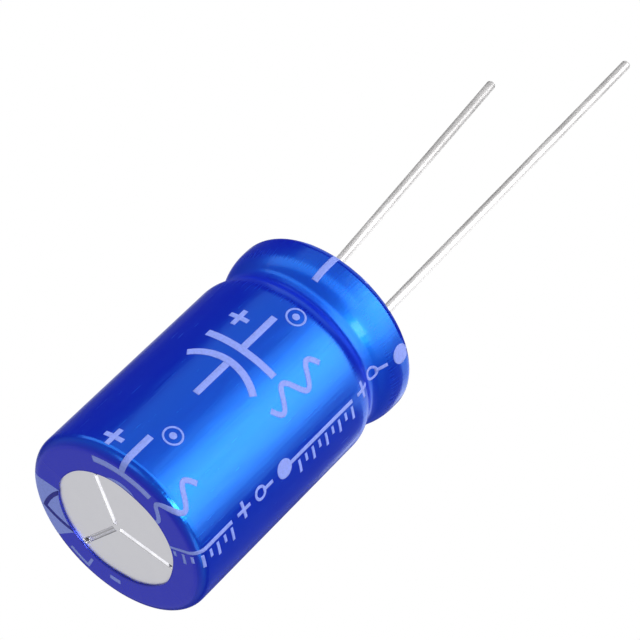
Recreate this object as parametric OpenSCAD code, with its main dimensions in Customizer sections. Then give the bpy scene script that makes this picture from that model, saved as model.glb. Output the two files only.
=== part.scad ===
// Radial aluminium electrolytic capacitor, standing on its vented end.
// Millimetres. Origin at the centre of the film lip that it stands on, +Z towards the leads,
// and X along the line of the two leads, from the cathode to the anode.

/* [Can] */
// Outside diameter of the drawn can
can_d = 16; // [14:0.5:18]
// Height of the can, from its base to the top of the curl
can_h = 25.7; // [23:0.1:36]
// Thickness of the side wall
can_wall = 0.3; // [0.25:0.01:0.4]
// Thickness of the base
base_t = 0.5; // [0.45:0.05:0.8]
// Outside radius where the base turns into the wall
base_round = 0.8; // [0.5:0.05:1]

/* [Bead and curl] */
// Depth that the bead is rolled into the wall
bead_depth = 0.78; // [0.6:0.02:0.9]
// Radius of the roller that presses the bead
bead_r = 0.9; // [0.7:0.05:1.1]
// Distance from the top of the curl down to the middle of the bead
bead_down = 4.1; // [3.9:0.1:4.8]
// Radius of the shoulder below the bead
lower_shoulder_r = 2.8; // [1.5:0.1:3.4]
// Radius of the shoulder above the bead
upper_shoulder_r = 4; // [2.5:0.1:4.2]
// Extra radius of the end that the bead and the curl push out
end_swell = 0.14; // [0:0.02:0.2]
// Outside radius of the curl that closes the can
curl_r = 0.7; // [0.66:0.02:0.8]

/* [Pressure vent] */
// Width of a scored line at the surface
score_w = 0.5; // [0.3:0.02:0.6]
// Width of a scored line at its bottom
score_floor_w = 0.08; // [0.05:0.01:0.25]
// Depth of a scored line
score_depth = 0.24; // [0.1:0.02:0.34]
// Distance from the centre to the near end of each line
score_start = 0.32; // [0.25:0.01:0.6]
// Distance from the centre to the far end of each line
score_end = 5.2; // [3.5:0.1:5.3]
// Radius of the punch mark at the far end of each line
punch_r = 0.24; // [0.22:0.02:0.4]
// Depth of that punch mark
punch_depth = 0.34; // [0.15:0.02:0.4]
// Narrowing of that punch mark towards its bottom
punch_taper = 0.1; // [0.02:0.02:0.2]
// Turn of the three lines from the line of the leads
score_turn = 27.9; // [0:0.1:119]

/* [Shrink film] */
// Thickness of the shrunk film
film_t = 0.12; // [0.08:0.01:0.2]
// Radius of the opening that leaves the vent bare
film_hole_r = 5.35; // [4.5:0.05:6]
// Angle round the curl at which the film ends
film_curl_angle = 140; // [95:1:150]
// Radius in which the film spans the bead
film_bead_r = 1.5; // [1.2:0.05:2.2]

/* [Rubber bung] */
// Height of the bung's foot, below the lower shoulder of the bead
foot_h = 0.6; // [0.5:0.05:1.2]
// Distance from the top of the curl down to the face of the bung
bung_down = 0.5; // [0.42:0.02:0.6]
// Bevel round the lower edge of the bung
bung_bevel = 0.4; // [0.2:0.05:0.45]
// Bevel round each lead hole, at the face of the bung
hole_bevel = 0.25; // [0.1:0.05:0.4]

/* [Wound element] */
// Space between the winding and the wall of the can
roll_gap = 0.35; // [0.35:0.05:0.6]
// Diameter of the hole that the winding spindle leaves
spindle_d = 2.6; // [2:0.1:3]
// Space between the winding and the bung
head_space = 1.2; // [1:0.1:2]
// Spacing of the turns that show at the ends
turn_pitch = 1; // [0.8:0.1:1.4]
// Width of the gap that the recessed foil leaves between turns of paper
foil_gap = 0.28; // [0.2:0.02:0.4]
// Depth by which the foil stays below the paper edge
foil_recess = 0.8; // [0.4:0.1:1.2]
// Height of the tape that closes the winding
tape_h = 11; // [6:0.5:12]
// Thickness of the tape
tape_t = 0.06; // [0.04:0.01:0.08]
// Angle over which the end of the tape laps its start
tape_lap = 50; // [20:5:90]

/* [Leads and tabs] */
// Distance between the leads
lead_pitch = 7.5; // [6.8:0.1:8]
// Diameter of the tinned wire
lead_d = 0.8; // [0.6:0.05:1]
// Length of the anode lead past the can
anode_len = 38.6; // [20:0.1:45]
// Length of the cathode lead past the can
cathode_len = 32.8; // [15:0.1:45]
// Height past the can at which the leads begin to lean
lean_start = 2.8; // [1:0.1:6]
// Lean of the anode lead, towards the cathode
anode_lean = 1.1; // [0.5:0.1:5]
// Lean of the cathode lead, away from the anode
cathode_lean = 6.3; // [0.5:0.1:8]
// Bend radius of both leads
lead_bend_r = 20; // [8:1:30]
// Rounding of the cut end of each lead
lead_tip_r = 0.22; // [0.1:0.02:0.28]
// Diameter of the tab's round shank, which fills the bung
shank_d = 2.2; // [1.8:0.1:2.6]
// Height of rubber left round the bare wire above the shank
wire_seal = 1.2; // [0.9:0.1:1.6]
// Width of the flat blade that is stitched to the foil
blade_w = 2.6; // [2:0.1:3]
// Thickness of the blade
blade_t = 0.35; // [0.25:0.05:0.45]
// Length of the neck between the shank and the blade
neck_h = 0.9; // [0.6:0.1:1]
// Distance from the foot of the winding up to the blade's lower end
blade_rise = 2.2; // [1:0.1:5]
// Distance from either end of the stitched length to the foil's edge
stitch_inset = 1.4; // [0.8:0.1:2]
// Number of stitches on each blade
stitches = 4; // [2:1:6]
// Radius of each stitch hole
stitch_r = 0.32; // [0.2:0.02:0.4]

/* [Fits] */
// Clearance between pieces that are pressed or shrunk together
snug = 0.03; // [0.02:0.01:0.05]
// Clearance between the winding and what holds it
loose = 0.12; // [0.08:0.02:0.2]

/* [Hidden] */
$fn = 96;
// Points along each round of a turned profile
arc_steps = 10;
// Overrun that keeps a cut clear of the face that it starts from
over = 0.05;

can_r = can_d / 2;
end_r = can_r + end_swell;
lead_r = lead_d / 2;
shank_r = shank_d / 2;
film_outer = snug + film_t;
can_z = film_outer;
can_top = can_z + can_h;
bead_z = can_top - bead_down;
bung_top = can_top - bung_down;
// The shank ends where the weld to the wire begins, a step narrower
weld_h = 0.5;
weld_step = 0.25;
weld_z = bung_top - wire_seal - weld_h;
weld_r = shank_r - weld_step;

// Shoulder centres, each tangent to the roller that presses the bead
bead_x = can_r - bead_depth + bead_r;
lower_x = can_r - lower_shoulder_r;
upper_x = end_r - upper_shoulder_r;
lower_z = bead_z - sqrt(pow(bead_r + lower_shoulder_r, 2) - pow(bead_x - lower_x, 2));
upper_z = bead_z + sqrt(pow(bead_r + upper_shoulder_r, 2) - pow(bead_x - upper_x, 2));
curl_x = end_r - curl_r;
curl_z = can_top - curl_r;
bung_z = lower_z - foot_h;

// The winding fills the can from its floor to the space under the bung
roll_r = can_r - can_wall - roll_gap;
roll_z = can_z + base_t + loose;
roll_h = bung_z - head_space - roll_z;

function arc(x, z, r, from, to) =
    [for (i = [0 : arc_steps]) let (a = from + (to - from) * i / arc_steps)
        [x + r * cos(a), z + r * sin(a)]];

// Centre of a round of radius r that touches both shoulders from outside
function span_centre(r) =
    let (dx = upper_x - lower_x, dz = upper_z - lower_z, gap = norm([dx, dz]),
         reach = lower_shoulder_r + r, far = upper_shoulder_r + r,
         along = (reach * reach - far * far + gap * gap) / (2 * gap),
         out = sqrt(reach * reach - along * along))
    [lower_x + (dx * along + dz * out) / gap, lower_z + (dz * along - dx * out) / gap];

// The can's side at a distance d outside its skin, from the base round up to the curl.
// A round of radius span crosses the bead.
function side_line(d, span) =
    let (c = span_centre(span),
         low = atan2(c[1] - lower_z, c[0] - lower_x),
         high = atan2(upper_z - c[1], c[0] - upper_x))
    concat(arc(lower_x, lower_z, lower_shoulder_r + d, 0, low),
           arc(c[0], c[1], span - d, 180 + low, 180 - high),
           arc(upper_x, upper_z, upper_shoulder_r + d, -high, 0));

function base_line(d) = arc(can_r - base_round, can_z + base_round, base_round + d, -90, 0);

function curl_line(d, end) = arc(curl_x, curl_z, curl_r + d, 0, end);

function backwards(points) = [for (i = [len(points) - 1 : -1 : 0]) points[i]];

// Film shrunk over the can, turned in under the base and over the curl
module shrink_sleeve() {
    outside = concat([[film_hole_r, can_z - film_outer]], base_line(film_outer),
                     side_line(film_outer, film_bead_r), curl_line(film_outer, film_curl_angle));
    inside = concat([[film_hole_r, can_z - snug]], base_line(snug),
                    side_line(snug, film_bead_r), curl_line(snug, film_curl_angle));
    color("royalblue") rotate_extrude() polygon(concat(outside, backwards(inside)));
}

// One scored line, from the centre outwards, and the punch mark at its end
module score_arm() {
    translate([score_start, 0, can_z])
        rotate([90, 0, 90]) linear_extrude(score_end - score_start)
            polygon([[-score_w / 2, -over], [score_w / 2, -over], [score_w / 2, 0],
                     [score_floor_w / 2, score_depth], [-score_floor_w / 2, score_depth],
                     [-score_w / 2, 0]]);
    translate([score_end - punch_r, 0, can_z - over])
        cylinder(r1 = punch_r, r2 = punch_r - punch_taper, h = punch_depth + over);
}

// Drawn can with its rolled bead, its curled rim and the Y of the pressure vent
module aluminium_can() {
    outside = concat([[0, can_z]], base_line(0), side_line(0, bead_r), curl_line(0, 180));
    inner_round = base_round - can_wall;
    inside = concat([[0, can_z + base_t]],
                    arc(can_r - base_round, can_z + base_t + inner_round, inner_round, -90, 0),
                    side_line(-can_wall, bead_r), curl_line(-can_wall, 180));
    color("silver") difference() {
        rotate_extrude() polygon(concat(outside, backwards(inside)));
        for (turn = [0 : 120 : 240]) rotate([0, 0, score_turn + turn]) score_arm();
    }
}

// Rubber bung, squeezed to the can's inner side and bitten by the edge of the curl
module rubber_bung() {
    shell = can_wall + snug;
    foot_r = can_r - shell;
    bite = asin((bung_top - curl_z) / (curl_r + snug));
    profile = concat([[0, bung_z], [foot_r - bung_bevel, bung_z], [foot_r, bung_z + bung_bevel]],
                     side_line(-shell, bead_r), curl_line(-shell, 180),
                     [[curl_x - curl_r + shell, curl_z - snug], [curl_x - curl_r - snug, curl_z - snug]],
                     arc(curl_x, curl_z, curl_r + snug, 180, 180 - bite), [[0, bung_top]]);
    color("dimgray") difference() {
        rotate_extrude() polygon(profile);
        for (side = [-1, 1]) translate([side * lead_pitch / 2, 0, 0]) {
            translate([0, 0, bung_z - over]) cylinder(r = shank_r + snug, h = weld_z - bung_z + over);
            translate([0, 0, weld_z - over])
                cylinder(r1 = shank_r + snug, r2 = lead_r + snug, h = weld_h + over + snug);
            translate([0, 0, bung_z]) cylinder(r = lead_r + snug, h = bung_top - bung_z + over);
            translate([0, 0, bung_top - hole_bevel])
                cylinder(r1 = lead_r + snug, r2 = lead_r + snug + hole_bevel + over,
                         h = hole_bevel + over);
        }
    }
}

// Half of a flat ring, above the X axis for side 1 and below it for side -1
module half_ring(r, width, side) {
    intersection() {
        difference() {
            circle(r + width);
            circle(r);
        }
        translate([-r - width, side > 0 ? 0 : -r - width]) square([2 * (r + width), r + width]);
    }
}

// Spiral of the recessed foil, in half turns about two centres
module foil_spiral() {
    first = spindle_d / 2 + turn_pitch / 2;
    step = turn_pitch / 2;
    halves = floor((roll_r - turn_pitch / 2 - foil_gap - first) / step);
    for (i = [0 : halves - 1])
        translate([i % 2 == 0 ? 0 : step, 0])
            half_ring(first + i * step, foil_gap, i % 2 == 0 ? 1 : -1);
}

// Foils and paper wound into one roll, with the paper proud of the foil at both ends
module wound_element() {
    slot_w = blade_w + 2 * loose;
    slot_t = blade_t + 2 * loose;
    blade_z = roll_z + blade_rise - loose;
    color("burlywood") difference() {
        translate([0, 0, roll_z]) cylinder(r = roll_r, h = roll_h);
        translate([0, 0, roll_z - over]) cylinder(d = spindle_d, h = roll_h + 2 * over);
        for (z = [roll_z - over, roll_z + roll_h - foil_recess])
            translate([0, 0, z]) linear_extrude(foil_recess + over) foil_spiral();
        for (side = [-1, 1])
            translate([side * lead_pitch / 2 - slot_t / 2, -slot_w / 2, blade_z])
                cube([slot_t, slot_w, roll_h + roll_z - blade_z + over]);
    }
}

// Tape round the winding, with its end lapped over its start
module winding_tape() {
    inner = roll_r + snug;
    z = roll_z + (roll_h - tape_h) / 2;
    color("khaki") translate([0, 0, z]) {
        difference() {
            cylinder(r = inner + tape_t, h = tape_h);
            translate([0, 0, -over]) cylinder(r = inner, h = tape_h + 2 * over);
        }
        rotate_extrude(angle = tape_lap) translate([inner + tape_t / 2, 0])
            square([tape_t * 1.5, tape_h]);
    }
}

// Aluminium tab: round shank in the bung, forged neck, and a flat blade stitched to its foil
module tab(side) {
    neck_top = bung_z - (head_space - neck_h) / 2;
    neck_z = neck_top - neck_h;
    blade_z = roll_z + blade_rise;
    blade_h = neck_z - blade_z;
    first = blade_z + stitch_inset;
    pitch = (roll_z + roll_h - stitch_inset - first) / stitches;
    translate([side * lead_pitch / 2, 0, 0]) {
        translate([0, 0, neck_top]) cylinder(r = shank_r, h = weld_z - neck_top);
        translate([0, 0, neck_z]) intersection() {
            cylinder(r1 = blade_w / 2, r2 = shank_r, h = neck_h);
            rotate([90, 0, 0]) linear_extrude(blade_w, center = true)
                polygon([[-blade_t / 2, 0], [blade_t / 2, 0], [shank_r, neck_h], [-shank_r, neck_h]]);
        }
        difference() {
            translate([-blade_t / 2, -blade_w / 2, blade_z]) cube([blade_t, blade_w, blade_h]);
            for (i = [0 : stitches - 1]) translate([-blade_t, 0, first + i * pitch])
                rotate([0, 90, 0]) cylinder(r = stitch_r, h = 2 * blade_t);
        }
    }
}

module anode_tab() { color("gainsboro") tab(1); }
module cathode_tab() { color("lightgray") tab(-1); }

// Blunt rounded end of a cut wire
module wire_tip() {
    rotate_extrude() {
        square([lead_r - lead_tip_r, lead_tip_r]);
        intersection() {
            translate([lead_r - lead_tip_r, 0]) circle(lead_tip_r);
            square([lead_r, lead_tip_r]);
        }
    }
}

// Tinned wire from its weld on the shank, straight out of the bung and then leaning towards -X
module lead(side, length, lean) {
    bend_z = can_top + lean_start;
    bend_length = lead_bend_r * lean * PI / 180;
    free = length - lean_start - bend_length - lead_tip_r;
    translate([side * lead_pitch / 2, 0, 0]) {
        translate([0, 0, weld_z]) cylinder(r1 = weld_r, r2 = lead_r, h = weld_h);
        translate([0, 0, weld_z]) cylinder(r = lead_r, h = bend_z - weld_z);
        translate([-lead_bend_r, 0, bend_z]) {
            rotate([90, 0, 0]) rotate_extrude(angle = lean)
                translate([lead_bend_r, 0]) circle(lead_r);
            rotate([0, -lean, 0]) translate([lead_bend_r, 0, 0]) {
                cylinder(r = lead_r, h = free);
                translate([0, 0, free]) wire_tip();
            }
        }
    }
}

module anode_lead() { color("whitesmoke") lead(1, anode_len, anode_lean); }
module cathode_lead() { color("whitesmoke") lead(-1, cathode_len, cathode_lean); }

shrink_sleeve();
aluminium_can();
rubber_bung();
wound_element();
winding_tape();
anode_tab();
cathode_tab();
anode_lead();
cathode_lead();
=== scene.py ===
import math

import bmesh
import bpy
from mathutils import Matrix, Vector


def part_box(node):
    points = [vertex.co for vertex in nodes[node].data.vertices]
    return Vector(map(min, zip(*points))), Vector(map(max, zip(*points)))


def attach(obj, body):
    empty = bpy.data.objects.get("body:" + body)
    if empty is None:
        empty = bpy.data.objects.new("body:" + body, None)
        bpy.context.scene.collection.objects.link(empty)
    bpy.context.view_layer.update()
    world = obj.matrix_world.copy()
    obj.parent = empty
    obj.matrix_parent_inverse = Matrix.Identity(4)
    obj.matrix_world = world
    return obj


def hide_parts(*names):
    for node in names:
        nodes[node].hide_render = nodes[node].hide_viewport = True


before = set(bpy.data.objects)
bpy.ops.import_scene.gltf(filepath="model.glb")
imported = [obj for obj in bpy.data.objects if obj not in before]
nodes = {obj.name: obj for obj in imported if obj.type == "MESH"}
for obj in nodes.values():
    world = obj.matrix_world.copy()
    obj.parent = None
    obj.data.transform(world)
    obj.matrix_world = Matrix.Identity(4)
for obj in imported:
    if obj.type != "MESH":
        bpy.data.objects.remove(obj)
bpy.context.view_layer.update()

MM = 0.001
BODY = "root"

# The photograph's camera, in degrees and metres
CAMERA_AZIMUTH = -42.5
CAMERA_ELEVATION = -33.695
CAMERA_ROLL = 45.75
CAMERA_DISTANCE = 0.22692
CAMERA_TARGET = (0.00841, -0.00838, 0.01778)
CAMERA_LENS = 174.57

# Radiance of the room above the part, of the table below it and of the backdrop behind it
WORLD_ABOVE = 0.05
WORLD_BELOW = 0.45
BACKDROP_RADIANCE = 0.14
BACKDROP_AZIMUTH = CAMERA_AZIMUTH + 180
BACKDROP_ELEVATION = -CAMERA_ELEVATION

# Where the room gives way to the table, as the height of a direction, and where the backdrop begins
# and is whole, as the cosine of the angle from its middle
TABLE_EDGE = (0.1, -0.35)
BACKDROP_EDGE = (0.72, 0.86)

# Points that the lights aim at, on the can and on the leads, and the lights' usual distance, in metres
CAN_TARGET = (0, 0, 0.013)
LEAD_TARGET = (0, 0, 0.048)
LIGHT_DISTANCE = 0.45

# The key is made of panels one behind the other, so that it fades towards its sides.
# Each has a share of the radiance and a width in metres
KEY_AZIMUTH = 346
KEY_STEPS = ((0.17, 0.16), (0.28, 0.33), (0.28, 0.52), (0.19, 0.8))
KEY_STEP_BACK = 0.004

# Azimuths of the lights low at the sides, azimuths and elevations of the lights that show in the walls
# of the scored lines, and azimuths of the lights for matt surfaces
LOW_SIDES = (247, 300)
GROOVE_LIGHTS = ((275, -45), (38, -34))
FILL_AZIMUTHS = range(17, 377, 60)

# Radiance of each light
KEY_RADIANCE = 5.0
SIDE_RADIANCE = 0.65
LOW_KEY_RADIANCE = 15.0
LOW_SIDE_RADIANCE = 1.8
GROOVE_RADIANCE = 1.3
RIGHT_RADIANCE = 0.1
LEAD_SIDE_RADIANCE = 1.25
TABLE_RADIANCE = 0.19
RIM_RADIANCE = 0.4
TOP_RADIANCE = 0.6
FILL_RADIANCE = 3.2
UNDER_RADIANCE = 0.6

# Half the floor's width and the distances from the part's axis between which it fades out, in metres,
# and how far it lies below the part, in millimetres
FLOOR_HALF = 1.2
FLOOR_FADE = (0.05, 0.32)
FLOOR_DROP = 0.05

# Colours of the film on the wall, on the lip round the vent and on the lip's cut edge, which is darkened as
# painted shade.
# Each has the colour of the film and the colour that it gives to reflections
FILM_WALL = ((0.004, 0.01, 0.5, 1), (0.02, 0.345, 1.0, 1))
FILM_LIP = ((0.004, 0.008, 0.55, 1), (0.1, 0.13, 0.95, 1))
FILM_CUT_SHADE = ((0.001, 0.001, 0.08, 1), (0.04, 0.03, 0.3, 1))

# Colours of the ink and of the bare aluminium, with painted shade for its scored lines' walls and its punch
# marks
PALE_INK = (0.29, 0.38, 1.0)
DARK_INK = (0.01, 0.015, 0.35)
SHEET_METAL = (0.9, 0.9, 0.95, 1)
SCORE_SHADE_METAL = (0.42, 0.42, 0.43, 1)
PUNCH_PAINTED_SHADE = (0.05, 0.05, 0.05, 1)

# Share of painted shade, as darker grey metal, in the scored lines' walls, by depth in the base from 0 to 1
SCORE_SHADE_STOPS = ((0, 0), (0.01, 1), (0.07, 0.9), (0.13, 0), (0.41, 0), (0.46, 0.7), (0.6, 0.7), (0.7, 0))

# How far the print stands off the film and how deep it reaches into it, in millimetres
PRINT_LIFT = 0.012
ARROW_LIFT = 0.022
PRINT_ROOT = 0.02

# Where each printed mark is, in degrees round the film and in millimetres along it,
# where the stripe's first chevron is along it, and the length in which the marks repeat
SYMBOL_AT = (296, 13.1)
RING_AT = (304, 19.06)
WAVE_AT = (330, 14.7)
SCALE_AT = (360, 15.2)
ROWS_AT = (140.5, -1.2)
DASHES_AT = (111.3, -1.6)
STRIPE_AT = (181.5, 12)
FIRST_CHEVRON = -2.85
REPEAT = 14.7


# Sizes in millimetres, from the frame where it has them, and otherwise as in the part's source

can_low, can_high = (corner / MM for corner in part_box("aluminium_can"))
film_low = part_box("shrink_sleeve")[0] / MM
film_outer = can_low.z - film_low.z
film_t = 0.12
end_r = can_high.x
end_swell = 0.14
can_r = end_r - end_swell
can_top = can_high.z
base_t = 0.5
base_round = 0.8
score_end = 5.2
bead_depth = 0.78
bead_r = 0.9
bead_z = can_top - 4.1
lower_shoulder_r = 2.8
upper_shoulder_r = 4.0
curl_r = 0.7
film_bead_r = 1.5
film_hole_r = 5.35
film_curl_angle = 140

lead_x = 3.75
lead_r = 0.4
lead_tip_r = 0.22
lead_bend_r = 20
lean_start = 2.8
weld_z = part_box("anode_lead")[0].z / MM
weld_r = 0.85
weld_h = 0.5
# Side, length past the can and lean of each lead
LEADS = {"anode_lead": (1, 38.6, 1.1), "cathode_lead": (-1, 32.8, 6.3)}

bead_x = can_r - bead_depth + bead_r
lower_x = can_r - lower_shoulder_r
upper_x = end_r - upper_shoulder_r
wall_r = can_r + film_outer
lower_z = bead_z - math.sqrt((bead_r + lower_shoulder_r) ** 2 - (bead_x - lower_x) ** 2)
upper_z = bead_z + math.sqrt((bead_r + upper_shoulder_r) ** 2 - (bead_x - upper_x) ** 2)
curl_x = end_r - curl_r
curl_z = can_top - curl_r


# The film's profile, as radius and height in millimetres

def arc(x, z, r, start, end, steps):
    """Points along an arc, with its angles in degrees."""
    angles = [math.radians(start + (end - start) * i / steps) for i in range(steps + 1)]
    return [(x + r * math.cos(a), z + r * math.sin(a)) for a in angles]


def line(start, end, steps):
    """Points along a line, without its first."""
    return [(start[0] + (end[0] - start[0]) * i / steps, start[1] + (end[1] - start[1]) * i / steps)
            for i in range(1, steps + 1)]


def span_centre(r):
    """Centre of the round of radius r that crosses the bead and touches both shoulders."""
    dx, dz = upper_x - lower_x, upper_z - lower_z
    gap = math.hypot(dx, dz)
    reach, far = lower_shoulder_r + r, upper_shoulder_r + r
    along = (reach ** 2 - far ** 2 + gap ** 2) / (2 * gap)
    out = math.sqrt(reach ** 2 - along ** 2)
    return lower_x + (dx * along + dz * out) / gap, lower_z + (dz * along - dx * out) / gap


def film_line(d):
    """The film's profile at a distance d outside the can, from the lip round to the rim."""
    x, z = span_centre(film_bead_r)
    low = math.degrees(math.atan2(z - lower_z, x - lower_x))
    high = math.degrees(math.atan2(upper_z - z, x - upper_x))
    corner = arc(can_r - base_round, can_low.z + base_round, base_round + d, -90, 0, 20)
    lower = arc(lower_x, lower_z, lower_shoulder_r + d, 0, low, 12)
    span = arc(x, z, film_bead_r - d, 180 + low, 180 - high, 24)
    upper = arc(upper_x, upper_z, upper_shoulder_r + d, -high, 0, 10)
    curl = arc(curl_x, curl_z, curl_r + d, 0, film_curl_angle, 28)
    start = (film_hole_r, can_low.z - d)
    return ([start] + line(start, corner[0], 6) + corner[1:] + line(corner[-1], lower[0], 24)
            + lower[1:] + span[1:] + upper[1:] + line(upper[-1], curl[0], 4) + curl[1:])


class Profile:
    """The film's outer profile by its path length, which equals the height on the straight wall."""

    def __init__(self, points):
        self.points = points
        self.at = [0.0]
        for (x0, z0), (x1, z1) in zip(points, points[1:]):
            self.at.append(self.at[-1] + math.hypot(x1 - x0, z1 - z0))
        wall = next(i for i, (x, z) in enumerate(points) if z > can_low.z + base_round - 1e-6)
        shift = points[wall][1] - self.at[wall]
        self.at = [s + shift for s in self.at]
        self.start, self.end = self.at[0], self.at[-1]

    def place(self, s):
        """Radius, height and outward normal at path length s."""
        i = next((i for i, limit in enumerate(self.at[1:-1]) if s < limit), len(self.at) - 2)
        (x0, z0), (x1, z1) = self.points[i], self.points[i + 1]
        span = self.at[i + 1] - self.at[i]
        t = (s - self.at[i]) / span
        return x0 + (x1 - x0) * t, z0 + (z1 - z0) * t, (z1 - z0) / span, -(x1 - x0) / span


profile = Profile(film_line(film_outer))


# Meshes

def add_object(name, bm, material):
    """A smooth mesh object of the part, from a bmesh in metres."""
    mesh = bpy.data.meshes.new(name)
    bm.to_mesh(mesh)
    bm.free()
    for face in mesh.polygons:
        face.use_smooth = True
    obj = bpy.data.objects.new(name, mesh)
    bpy.context.scene.collection.objects.link(obj)
    mesh.materials.append(material)
    return obj


def lip_wave(angle, share):
    """Uneven radius of the film's shrunk lip, which fades out along the given share."""
    wave = 0.05 * math.sin(2 * angle + 0.6) + 0.035 * math.sin(5 * angle + 2.1) + 0.02 * math.sin(9 * angle)
    return wave * (1 - share)


def revolve_film(material, segments=256):
    """The shrunk film, with an uneven lip round the vent."""
    outside = film_line(film_outer)
    inside = film_line(film_outer - film_t)
    lip_end = next(i for i, (x, z) in enumerate(outside) if x >= can_r - base_round - 1e-6)
    loop = outside + inside[::-1]
    bm = bmesh.new()
    rings = []
    for turn in range(segments):
        angle = 2 * math.pi * turn / segments
        ring = []
        for i, (x, z) in enumerate(loop):
            j = min(i, len(loop) - 1 - i)
            x += lip_wave(angle, min(j / lip_end, 1))
            ring.append(bm.verts.new((x * math.cos(angle) * MM, x * math.sin(angle) * MM, z * MM)))
        rings.append(ring)
    for turn in range(segments):
        here, there = rings[turn], rings[(turn + 1) % segments]
        for i in range(len(loop)):
            j = (i + 1) % len(loop)
            bm.faces.new((here[i], there[i], there[j], here[j]))
    film = add_object("film", bm, material)
    sharp = film.data.attributes.new("sharp_edge", "BOOLEAN", "EDGE")
    rims = {0, len(outside) - 1, len(outside), len(loop) - 1}
    for edge in film.data.edges:
        a, b = (v % len(loop) for v in edge.vertices)
        sharp.data[edge.index].value = a == b and a in rims
    return film


def lead_place(side, lean, s):
    """Middle of a lead at a distance s along it from its weld, and its lean there."""
    straight = can_top + lean_start - weld_z
    bend = min(max(s - straight, 0) / lead_bend_r, math.radians(lean))
    rest = max(s - straight - lead_bend_r * math.radians(lean), 0)
    x = side * lead_x - lead_bend_r * (1 - math.cos(bend)) - rest * math.sin(bend)
    return x, weld_z + min(s, straight) + lead_bend_r * math.sin(bend) + rest * math.cos(bend), bend


def draw_lead(name, material, segments=40):
    """A lead as a smooth round wire, from its weld on the tab to its rounded tip."""
    side, length, lean = LEADS[name]
    straight = can_top + lean_start - weld_z
    end = can_top + length - weld_z
    tip = arc(lead_r - lead_tip_r, end - lead_tip_r, lead_tip_r, 0, 90, 6)
    steps = [(lead_r, straight + lead_bend_r * math.radians(lean) * i / 12) for i in range(13)]
    bm = bmesh.new()
    rings = []
    for r, s in [(weld_r, 0), (lead_r, weld_h), (lead_r, weld_h + 0.05)] + steps + tip:
        x, z, bend = lead_place(side, lean, s)
        ring = []
        for i in range(segments):
            turn = 2 * math.pi * i / segments
            out = r * math.cos(turn)
            place = (x + out * math.cos(bend), r * math.sin(turn), z + out * math.sin(bend))
            ring.append(bm.verts.new(Vector(place) * MM))
        rings.append(ring)
    for low, high in zip(rings, rings[1:]):
        for i in range(segments):
            j = (i + 1) % segments
            bm.faces.new((low[i], low[j], high[j], high[i]))
    bm.faces.new(rings[0][::-1])
    bm.faces.new(rings[-1])
    return add_object(name + "_wire", bm, material)


# Print: flat shapes that are drawn on the unrolled film and then wrapped onto it

class Print:
    """Marks on the unrolled film, in millimetres round it and along its profile."""

    def __init__(self):
        self.bm = bmesh.new()

    def stroke(self, points, widths, closed=False):
        """A band along points, with one width for all or one for each point."""
        count = len(points)
        if not isinstance(widths, (list, tuple)):
            widths = [widths] * count
        sides = []
        for i, ((x, y), width) in enumerate(zip(points, widths)):
            before = points[i - 1] if i or closed else points[0]
            after = points[(i + 1) % count] if i < count - 1 or closed else points[-1]
            dx, dy = after[0] - before[0], after[1] - before[1]
            size = math.hypot(dx, dy) or 1
            nx, ny = -dy / size * width / 2, dx / size * width / 2
            sides.append([self.bm.verts.new((x + nx, y + ny, 0)), self.bm.verts.new((x - nx, y - ny, 0))])
        for i in range(count if closed else count - 1):
            (a, b), (c, d) = sides[i], sides[(i + 1) % count]
            self.bm.faces.new((a, b, d, c))

    def polygon(self, points):
        """A filled outline."""
        self.bm.faces.new([self.bm.verts.new((x, y, 0)) for x, y in points])

    def bar(self, x, y, width, height):
        """A rectangle about its centre."""
        self.polygon([(x - width / 2, y - height / 2), (x + width / 2, y - height / 2),
                      (x + width / 2, y + height / 2), (x - width / 2, y + height / 2)])

    def ring(self, x, y, r, width):
        """A circle's outline."""
        self.stroke(arc(x, y, r, 0, 360, 36)[:-1], width, closed=True)

    def disc(self, x, y, r):
        """A filled circle."""
        self.polygon(arc(x, y, r, 0, 360, 24)[:-1])

    def plus(self, x, y, size, width):
        """A plus sign, in three bars that don't overlap."""
        arm = (size - width) / 2
        self.bar(x, y, width, size)
        for side in (-1, 1):
            self.bar(x + side * (width + arm) / 2, y, arm, width)

    def cut(self, place, normal, clear=False):
        """Cut the marks along a plane, and clear what lies past it if asked to."""
        bmesh.ops.bisect_plane(self.bm, geom=self.bm.verts[:] + self.bm.edges[:] + self.bm.faces[:],
                               plane_co=place, plane_no=normal, clear_outer=clear)

    def wrap(self, name, material, lift, step=0.2):
        """The closed thin layer that these marks make on the film, with a vertex at every step at least."""
        self.cut((0, profile.end - 0.2, 0), (0, 1, 0), clear=True)
        self.cut((0, profile.start + 0.06, 0), (0, -1, 0), clear=True)
        xs = [v.co.x for v in self.bm.verts]
        ys = [v.co.y for v in self.bm.verts]
        for i in range(int(min(xs) / step), int(max(xs) / step) + 1):
            self.cut((i * step, 0, 0), (1, 0, 0))
        for i in range(int(min(ys) / step) - 1, int(max(ys) / step) + 1):
            self.cut((0, i * step, 0), (0, 1, 0))
        flat = {vert: vert.co.copy() for vert in self.bm.verts}
        everything = self.bm.verts[:] + self.bm.edges[:] + self.bm.faces[:]
        twin = bmesh.ops.duplicate(self.bm, geom=everything)["vert_map"]
        for vert, place in flat.items():
            x, z, nx, nz = profile.place(place.y)
            angle = place.x / wall_r
            for corner, height in ((vert, lift), (twin[vert], -PRINT_ROOT)):
                radius = x + nx * height
                corner.co = Vector((radius * math.cos(angle), radius * math.sin(angle), z + nz * height)) * MM
        top_faces = [face for face in self.bm.faces if face.verts[0] in flat]
        low_faces = [face for face in self.bm.faces if face.verts[0] not in flat]
        borders = {edge for face in top_faces for edge in face.edges if len(edge.link_faces) == 1}
        for edge in borders:
            a, b = edge.verts
            self.bm.faces.new((a, b, twin[b], twin[a]))
        bmesh.ops.reverse_faces(self.bm, faces=low_faces)
        bmesh.ops.recalc_face_normals(self.bm, faces=self.bm.faces[:])
        return add_object(name, self.bm, material)


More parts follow.
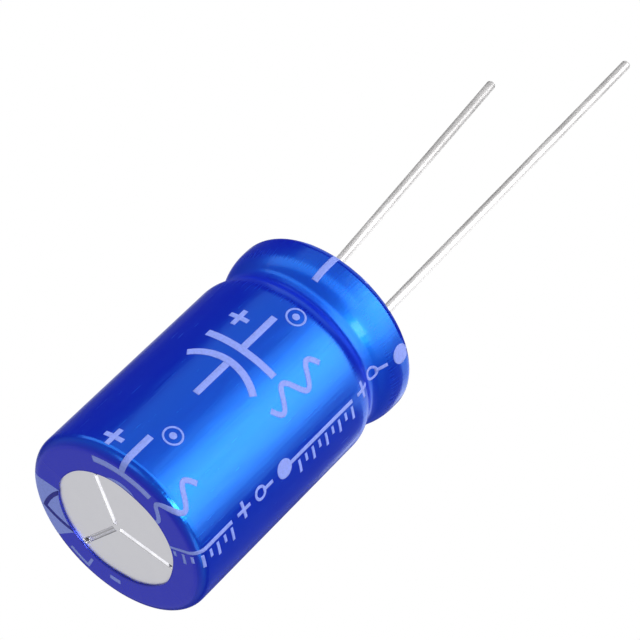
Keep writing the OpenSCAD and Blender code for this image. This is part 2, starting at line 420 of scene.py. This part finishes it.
def on_film(place, shift=0.0):
    """Point on the unrolled film at an angle round it and a length along it, shifted along it."""
    return math.radians(place[0]) * wall_r, place[1] + shift


def capacitor_symbol(marks, x, y):
    """Circuit symbol of a polarised capacitor: plates, leads and a plus sign."""
    marks.bar(x, y + 0.75, 6.4, 0.62)
    marks.bar(x, y + 2.93, 0.56, 3.74)
    marks.stroke(arc(x, y - 6.1, 5.4, 54, 126, 18), 0.62)
    marks.bar(x, y - 2.85, 0.56, 3.68)
    marks.plus(x - 2.1, y + 3.2, 1.7, 0.42)


def ring_mark(marks, x, y):
    """A ring round a dot."""
    marks.ring(x, y, 0.74, 0.16)
    marks.disc(x, y, 0.3)


def wave_mark(marks, x, y):
    """A row of ripples along the film."""
    points = [(x + 0.85 * math.sin(2 * math.pi * t / 24), y - 3 + 6 * t / 48) for t in range(49)]
    marks.stroke(points, 0.45)


def scale_mark(marks, x, y):
    """A scale like a thermometer's, from a minus sign to a plus sign."""
    marks.bar(x, y - 6.9, 0.3, 1.15)
    marks.disc(x, y - 4.9, 0.8)
    marks.bar(x, y - 0.35, 0.34, 7.7)
    for i in range(9):
        marks.bar(x + (0.75 if i % 2 else 1.0), y - 3.3 + i * 0.82, 0.7 if i % 2 else 1.2, 0.26)
    marks.plus(x, y + 4.9, 1.5, 0.3)
    marks.ring(x, y + 6.9, 0.5, 0.24)


def polarity_stripe(marks, arrows):
    """The pale stripe on the cathode's side, with chevrons across it and minus bars between them."""
    x, y = on_film(STRIPE_AT)
    marks.bar(x, y, 6.5, 40)
    y = FIRST_CHEVRON
    while y < profile.end:
        arrows.stroke([(x - 3.6, y), (x, y + 2.2), (x + 3.6, y)], 0.42)
        arrows.bar(x, y + 5.2, 2.6, 0.6)
        y += REPEAT / 2


def back_rows(marks, shift):
    """Plain rows on the far side, which begin with the corner and the dash that show on the lip."""
    x, y = on_film(ROWS_AT, shift)
    marks.bar(x, y + 0.4, 2.4, 0.32)
    marks.bar(x - 1.04, y - 0.21, 0.32, 0.9)
    for i in range(7):
        marks.bar(x, y + 3.4 + 1.3 * i, 2.4 if i % 3 else 1.4, 0.4)
    x, y = on_film(DASHES_AT, shift)
    for i in range(5):
        marks.bar(x, y + 2.4 * i, 1.3, 0.42)


# Materials

def add_node(tree, kind, inputs=(), **settings):
    """A node whose inputs are linked to a socket or set to a value."""
    node = tree.nodes.new(kind)
    for name, value in settings.items():
        setattr(node, name, value)
    for socket, value in dict(inputs).items():
        if isinstance(value, bpy.types.NodeSocket):
            tree.links.new(value, node.inputs[socket])
        else:
            node.inputs[socket].default_value = value
    return node


class Nodes:
    """Short calls for building one material's nodes."""

    def __init__(self, name):
        self.material = bpy.data.materials.new(name)
        self.material.use_nodes = True
        self.tree = self.material.node_tree
        self.tree.nodes.clear()
        self.output = self.tree.nodes.new("ShaderNodeOutputMaterial")
        self.shader = self.tree.nodes.new("ShaderNodeBsdfPrincipled")
        self.tree.links.new(self.shader.outputs[0], self.output.inputs["Surface"])

    def set(self, **values):
        """Constant values of the shader's sockets, named with underscores for spaces."""
        for name, value in values.items():
            self.shader.inputs[name.replace("_", " ")].default_value = value

    def add(self, kind, inputs=(), **settings):
        """A node of this material."""
        return add_node(self.tree, kind, inputs, **settings)

    def link(self, output, name):
        """Drive one of the shader's sockets."""
        self.tree.links.new(output, self.shader.inputs[name])

    def math(self, operation, a, b=0.0):
        """Result of an operation on one or two values."""
        return self.add("ShaderNodeMath", {0: a, 1: b}, operation=operation).outputs[0]

    def place(self):
        """Position on the part, in metres."""
        return self.add("ShaderNodeTexCoord").outputs["Object"]

    def polar(self):
        """Distance from the part's axis, and height, in metres."""
        parts = self.add("ShaderNodeSeparateXYZ", {0: self.place()}).outputs
        x, y = (self.math("MULTIPLY", parts[axis], parts[axis]) for axis in "XY")
        return self.math("SQRT", self.math("ADD", x, y)), parts["Z"]

    def noise(self, vector, scale, detail=3.0, roughness=0.5):
        """Noise from 0 to 1."""
        inputs = {"Vector": vector, "Scale": scale, "Detail": detail, "Roughness": roughness}
        return self.add("ShaderNodeTexNoise", inputs).outputs["Fac"]

    def span(self, value, low, high, to_low, to_high):
        """Value mapped from one range to another, and held there."""
        inputs = {"Value": value, "From Min": low, "From Max": high, "To Min": to_low, "To Max": to_high}
        return self.add("ShaderNodeMapRange", inputs).outputs["Result"]

    def ramp(self, value, stops):
        """Grey that follows value through the stops, given as places from 0 to 1 and greys."""
        node = self.add("ShaderNodeValToRGB", {0: value})
        elements = node.color_ramp.elements
        elements.remove(elements[1])
        for i, (place, grey) in enumerate(stops):
            element = elements.new(place) if i else elements[0]
            element.position = place
            element.color = (grey, grey, grey, 1)
        return node.outputs["Color"]

    def blend(self, share, a, b):
        """Colour between a and b."""
        return self.add("ShaderNodeMix", {0: share, 6: a, 7: b}, data_type="RGBA").outputs[2]

    def bump(self, height, strength, distance):
        """Fine relief of the surface."""
        inputs = {"Height": height, "Strength": strength, "Distance": distance}
        self.link(self.add("ShaderNodeBump", inputs).outputs["Normal"], "Normal")

    def unrolled(self, across, along):
        """Position round the axis and along it, with a scale for each per millimetre."""
        parts = self.add("ShaderNodeSeparateXYZ", {0: self.place()}).outputs
        angle = self.math("ARCTAN2", parts["Y"], parts["X"])
        inputs = {
            0: self.math("COSINE", angle),
            1: self.math("MULTIPLY", angle, wall_r * across),
            2: self.math("MULTIPLY", parts["Z"], along / MM),
        }
        return self.add("ShaderNodeCombineXYZ", inputs).outputs[0]


def film_material():
    """Blue film shrunk onto bright metal, more violet on the lip round the vent, darkened as painted shade at
    the lip's cut edge, and rougher at the bead.
    """
    m = Nodes("blue_film")
    m.set(IOR=3.0, Anisotropic=0.5, Coat_Weight=0.12, Coat_Roughness=0.06)
    radius, height = m.polar()
    # Painted shade: the film turns dark navy towards the lip's cut edge round the vent
    cut = m.span(radius, (film_hole_r - 0.3) * MM, (film_hole_r + 0.16) * MM, 0, 1)
    wall = m.span(height, 0.03 * MM, 0.4 * MM, 0, 1)
    for i, socket in enumerate(("Base Color", "Specular Tint")):
        lip = m.blend(cut, FILM_CUT_SHADE[i], FILM_LIP[i])
        m.link(m.blend(wall, lip, FILM_WALL[i]), socket)
    streaks = m.noise(m.unrolled(6.0, 0.25), 1.0, 4.0, 0.6)
    dents = m.noise(m.unrolled(0.3, 0.14), 1.0, 2.0)
    from_bead = m.math("ABSOLUTE", m.math("SUBTRACT", height, bead_z * MM))
    bead = m.span(from_bead, 1.0 * MM, 3.0 * MM, 1, 0)
    m.link(m.blend(bead, m.span(streaks, 0.3, 0.7, 0.11, 0.28), (0.32, 0.32, 0.32, 1)), "Roughness")
    relief = m.math("ADD", m.math("MULTIPLY", streaks, 0.2), dents)
    m.bump(relief, 0.14, 0.4 * MM)
    tangent = m.add("ShaderNodeTangent", direction_type="RADIAL", axis="Z")
    m.link(tangent.outputs[0], "Tangent")
    return m.material


def ink_material(name, color):
    """Thin opaque ink on the film, a little uneven."""
    m = Nodes(name)
    m.set(Roughness=0.45, Specular_IOR_Level=0.25)
    grain = m.noise(m.place(), 5200.0, 2.0)
    share = m.span(grain, 0.35, 0.7, 0, 1)
    m.link(m.blend(share, color + (1,), tuple(c * 0.86 for c in color) + (1,)), "Base Color")
    m.bump(grain, 0.1, 0.02 * MM)
    return m.material


def aluminium_material():
    """Soft satin aluminium sheet, with painted shade: darker grey in the scored lines' walls and almost black
    in the punch marks at their ends.
    """
    m = Nodes("can_aluminium")
    m.set(Metallic=1.0)
    radius, height = m.polar()
    depth = m.span(height, can_low.z * MM, (can_low.z + base_t) * MM, 0, 1)
    vent = m.span(radius, (film_hole_r - 0.1) * MM, film_hole_r * MM, 1, 0)
    # Painted shade: darker grey metal along the walls of the scored lines inside the vent
    score_shade = m.math("MULTIPLY", m.ramp(depth, SCORE_SHADE_STOPS), vent)
    sheet = m.blend(score_shade, SHEET_METAL, SCORE_SHADE_METAL)
    # Painted shade: the metal turns almost black in the punch marks at the scored lines' ends
    ends = m.span(radius, (score_end - 0.4) * MM, (score_end - 0.2) * MM, 0, 1)
    pit_shade = m.math("MULTIPLY", m.math("MULTIPLY", ends, m.span(depth, 0.08, 0.6, 0, 1)), vent)
    m.link(m.blend(pit_shade, sheet, PUNCH_PAINTED_SHADE), "Base Color")
    cloud = m.noise(m.place(), 900.0, 3.0)
    m.link(m.span(cloud, 0.3, 0.7, 0.33, 0.45), "Roughness")
    m.bump(m.noise(m.place(), 9000.0, 2.0), 0.06, 0.02 * MM)
    return m.material


def wire_material():
    """Tinned wire, drawn soft and bright, with faint scuffs along it."""
    m = Nodes("tinned_wire")
    m.set(Metallic=0.65)
    drawn = m.add("ShaderNodeVectorMath", {0: m.place(), 1: (1, 1, 0.3)}, operation="MULTIPLY")
    scuff = m.noise(drawn.outputs[0], 900.0, 2.0)
    share = m.span(scuff, 0.35, 0.65, 0, 1)
    m.link(m.blend(share, (0.68, 0.67, 0.67, 1), (0.77, 0.76, 0.76, 1)), "Base Color")
    m.link(m.span(scuff, 0.3, 0.7, 0.32, 0.44), "Roughness")
    return m.material


def plain_material(name, color, roughness, scale, metallic=0.0):
    """A matt or metal surface with a fine uneven grain."""
    m = Nodes(name)
    m.set(Metallic=metallic)
    grain = m.noise(m.place(), scale, 4.0)
    share = m.span(grain, 0.3, 0.7, 0, 1)
    m.link(m.blend(share, tuple(c * 0.82 for c in color) + (1,), color + (1,)), "Base Color")
    m.link(m.span(grain, 0.3, 0.7, roughness * 0.85, min(roughness * 1.15, 1)), "Roughness")
    m.bump(grain, 0.3, 0.05 * MM)
    return m.material


# Stage, light and camera

def make_floor():
    """Pale floor that fades out far away and can't be seen from below."""
    m = Nodes("pale_floor")
    m.set(Base_Color=(0.86, 0.86, 0.87, 1), Roughness=0.6)
    mesh = bpy.data.meshes.new("floor")
    half, z = FLOOR_HALF, -FLOOR_DROP * MM
    corners = [(-half, -half, z), (half, -half, z), (half, half, z), (-half, half, z)]
    mesh.from_pydata(corners, [], [(0, 1, 2, 3)])
    floor = bpy.data.objects.new("floor", mesh)
    bpy.context.scene.collection.objects.link(floor)
    mesh.materials.append(m.material)
    fade = m.span(m.polar()[0], *FLOOR_FADE, 0, 1)
    back = m.add("ShaderNodeNewGeometry").outputs["Backfacing"]
    clear = m.add("ShaderNodeBsdfTransparent")
    hidden = m.math("MAXIMUM", fade, back)
    mix = m.add("ShaderNodeMixShader", {0: hidden, 1: m.shader.outputs[0], 2: clear.outputs[0]})
    m.tree.links.new(mix.outputs[0], m.output.inputs["Surface"])
    floor.visible_diffuse = floor.visible_glossy = floor.visible_shadow = False


def direction(azimuth, elevation):
    """Unit vector, with azimuth turned from +X towards +Y, in degrees."""
    a, e = math.radians(azimuth), math.radians(elevation)
    return Vector((math.cos(e) * math.cos(a), math.cos(e) * math.sin(a), math.sin(e)))


def softbox(name, azimuth, elevation, size, radiance, distance=LIGHT_DISTANCE, seen_by="glossy",
            target=CAN_TARGET):
    """Rectangular light of even radiance, aimed at the part and seen by one kind of ray or by both."""
    data = bpy.data.lights.new(name, "AREA")
    data.shape = "RECTANGLE"
    data.size, data.size_y = size
    data.energy = radiance * math.pi * size[0] * size[1]
    light = bpy.data.objects.new(name, data)
    back = direction(azimuth, elevation)
    light.location = Vector(target) + back * distance
    light.rotation_mode = "QUATERNION"
    light.rotation_quaternion = back.to_track_quat("Z", "Y")
    light.visible_camera = False
    light.visible_glossy = seen_by != "diffuse"
    light.visible_diffuse = seen_by != "glossy"
    bpy.context.scene.collection.objects.link(light)


def make_lights():
    """Lights that mostly show as reflections alone, and a ring of others that light matt surfaces."""
    for step, (share, width) in enumerate(KEY_STEPS):
        softbox("key", KEY_AZIMUTH, 18, (width, 0.62), KEY_RADIANCE * share,
                distance=LIGHT_DISTANCE + KEY_STEP_BACK * step)
    softbox("side", 290, 30, (0.8, 0.3), SIDE_RADIANCE)
    softbox("low_key", KEY_AZIMUTH, -28, (0.13, 0.24), LOW_KEY_RADIANCE)
    for azimuth in LOW_SIDES:
        softbox("low_side", azimuth, 4, (0.5, 0.17), LOW_SIDE_RADIANCE, distance=0.5)
    for azimuth, elevation in GROOVE_LIGHTS:
        softbox("groove_light", azimuth, elevation, (0.24, 0.2), GROOVE_RADIANCE, distance=0.5)
    softbox("right", 75, 30, (0.5, 0.3), RIGHT_RADIANCE)
    softbox("lead_side", 75, 33.7, (0.14, 0.045), LEAD_SIDE_RADIANCE, distance=0.1, target=LEAD_TARGET)
    softbox("table", BACKDROP_AZIMUTH, CAMERA_ELEVATION, (0.55, 0.45), TABLE_RADIANCE, distance=0.55)
    softbox("rim", 150, 12, (0.12, 0.4), RIM_RADIANCE)
    softbox("top", 200, 80, (0.4, 0.4), TOP_RADIANCE, seen_by="both")
    for azimuth in FILL_AZIMUTHS:
        softbox("fill", azimuth, 20, (0.3, 0.3), FILL_RADIANCE, seen_by="diffuse")
    softbox("under", 0, -80, (0.4, 0.4), UNDER_RADIANCE, seen_by="diffuse")


def make_world():
    """White to the camera. To the part, a dim room above, a paler table below and a backdrop behind."""
    world = bpy.data.worlds.new("studio")
    world.use_nodes = True
    bpy.context.scene.world = world
    tree = world.node_tree
    tree.nodes.clear()
    place = add_node(tree, "ShaderNodeTexCoord").outputs["Generated"]
    up = add_node(tree, "ShaderNodeSeparateXYZ", {0: place}).outputs["Z"]
    high, low = TABLE_EDGE
    inputs = {"Value": up, "From Min": high, "From Max": low, "To Min": WORLD_ABOVE, "To Max": WORLD_BELOW}
    table = add_node(tree, "ShaderNodeMapRange", inputs).outputs[0]
    inputs = {0: place, 1: tuple(direction(BACKDROP_AZIMUTH, BACKDROP_ELEVATION))}
    behind = add_node(tree, "ShaderNodeVectorMath", inputs, operation="DOT_PRODUCT").outputs["Value"]
    low, high = BACKDROP_EDGE
    inputs = {"Value": behind, "From Min": low, "From Max": high, "To Min": 0.0, "To Max": BACKDROP_RADIANCE}
    drop = add_node(tree, "ShaderNodeMapRange", inputs).outputs[0]
    total = add_node(tree, "ShaderNodeMath", {0: table, 1: drop}, operation="MAXIMUM").outputs[0]
    room = add_node(tree, "ShaderNodeBackground", {"Color": (1, 1, 1, 1), "Strength": total})
    white = add_node(tree, "ShaderNodeBackground", {"Color": (1, 1, 1, 1), "Strength": 1.0})
    camera_ray = add_node(tree, "ShaderNodeLightPath").outputs["Is Camera Ray"]
    mix = add_node(tree, "ShaderNodeMixShader", {0: camera_ray, 1: room.outputs[0], 2: white.outputs[0]})
    output = add_node(tree, "ShaderNodeOutputWorld")
    tree.links.new(mix.outputs[0], output.inputs["Surface"])


def make_camera():
    """Camera at the photograph's angle, below the vent and turned on its side."""
    data = bpy.data.cameras.new("camera")
    data.lens = CAMERA_LENS
    data.clip_start, data.clip_end = 0.01, 10
    camera = bpy.data.objects.new("camera", data)
    bpy.context.scene.collection.objects.link(camera)
    back = direction(CAMERA_AZIMUTH, CAMERA_ELEVATION)
    level = Vector((0, 0, 1)).cross(back).normalized()
    turn = Matrix.Rotation(math.radians(CAMERA_ROLL), 3, back)
    right = turn @ level
    up = back.cross(right)
    basis = Matrix((right, up, back)).transposed()
    camera.matrix_world = Matrix.Translation(Vector(CAMERA_TARGET) + back * CAMERA_DISTANCE) @ basis.to_4x4()
    bpy.context.scene.camera = camera


make_camera()
make_floor()
make_world()
make_lights()
bpy.context.scene.view_settings.view_transform = "Standard"

film = revolve_film(film_material())
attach(film, BODY)
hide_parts("shrink_sleeve")

pale_ink = ink_material("pale_ink", PALE_INK)
dark_ink = ink_material("dark_ink", DARK_INK)

marks = Print()
for repeat in (1, 0, -1):
    shift = repeat * REPEAT
    capacitor_symbol(marks, *on_film(SYMBOL_AT, shift))
    ring_mark(marks, *on_film(RING_AT, shift))
    wave_mark(marks, *on_film(WAVE_AT, shift))
    scale_mark(marks, *on_film(SCALE_AT, shift))
    back_rows(marks, shift)
print_layer = marks.wrap("print", pale_ink, PRINT_LIFT)
stripe, arrows = Print(), Print()
polarity_stripe(stripe, arrows)
stripe_layer = stripe.wrap("stripe", pale_ink, PRINT_LIFT)
arrow_layer = arrows.wrap("stripe_arrows", dark_ink, ARROW_LIFT)
for layer in (print_layer, stripe_layer, arrow_layer):
    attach(layer, BODY)

finishes = {
    "aluminium_can": aluminium_material(),
    "rubber_bung": plain_material("bung_rubber", (0.022, 0.022, 0.024), 0.7, 2200.0),
    "wound_element": plain_material("wound_paper", (0.62, 0.47, 0.28), 0.85, 1800.0),
    "winding_tape": plain_material("clear_tape", (0.75, 0.66, 0.38), 0.25, 900.0),
    "anode_tab": plain_material("tab_aluminium", (0.86, 0.87, 0.88), 0.3, 2600.0, 1.0),
}
finishes["cathode_tab"] = finishes["anode_tab"]
finishes["anode_lead"] = finishes["cathode_lead"] = wire_material()
for name in LEADS:
    wire = draw_lead(name, finishes[name])
    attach(wire, BODY)
    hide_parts(name)
for name, material in finishes.items():
    nodes[name].data.materials.clear()
    nodes[name].data.materials.append(material)
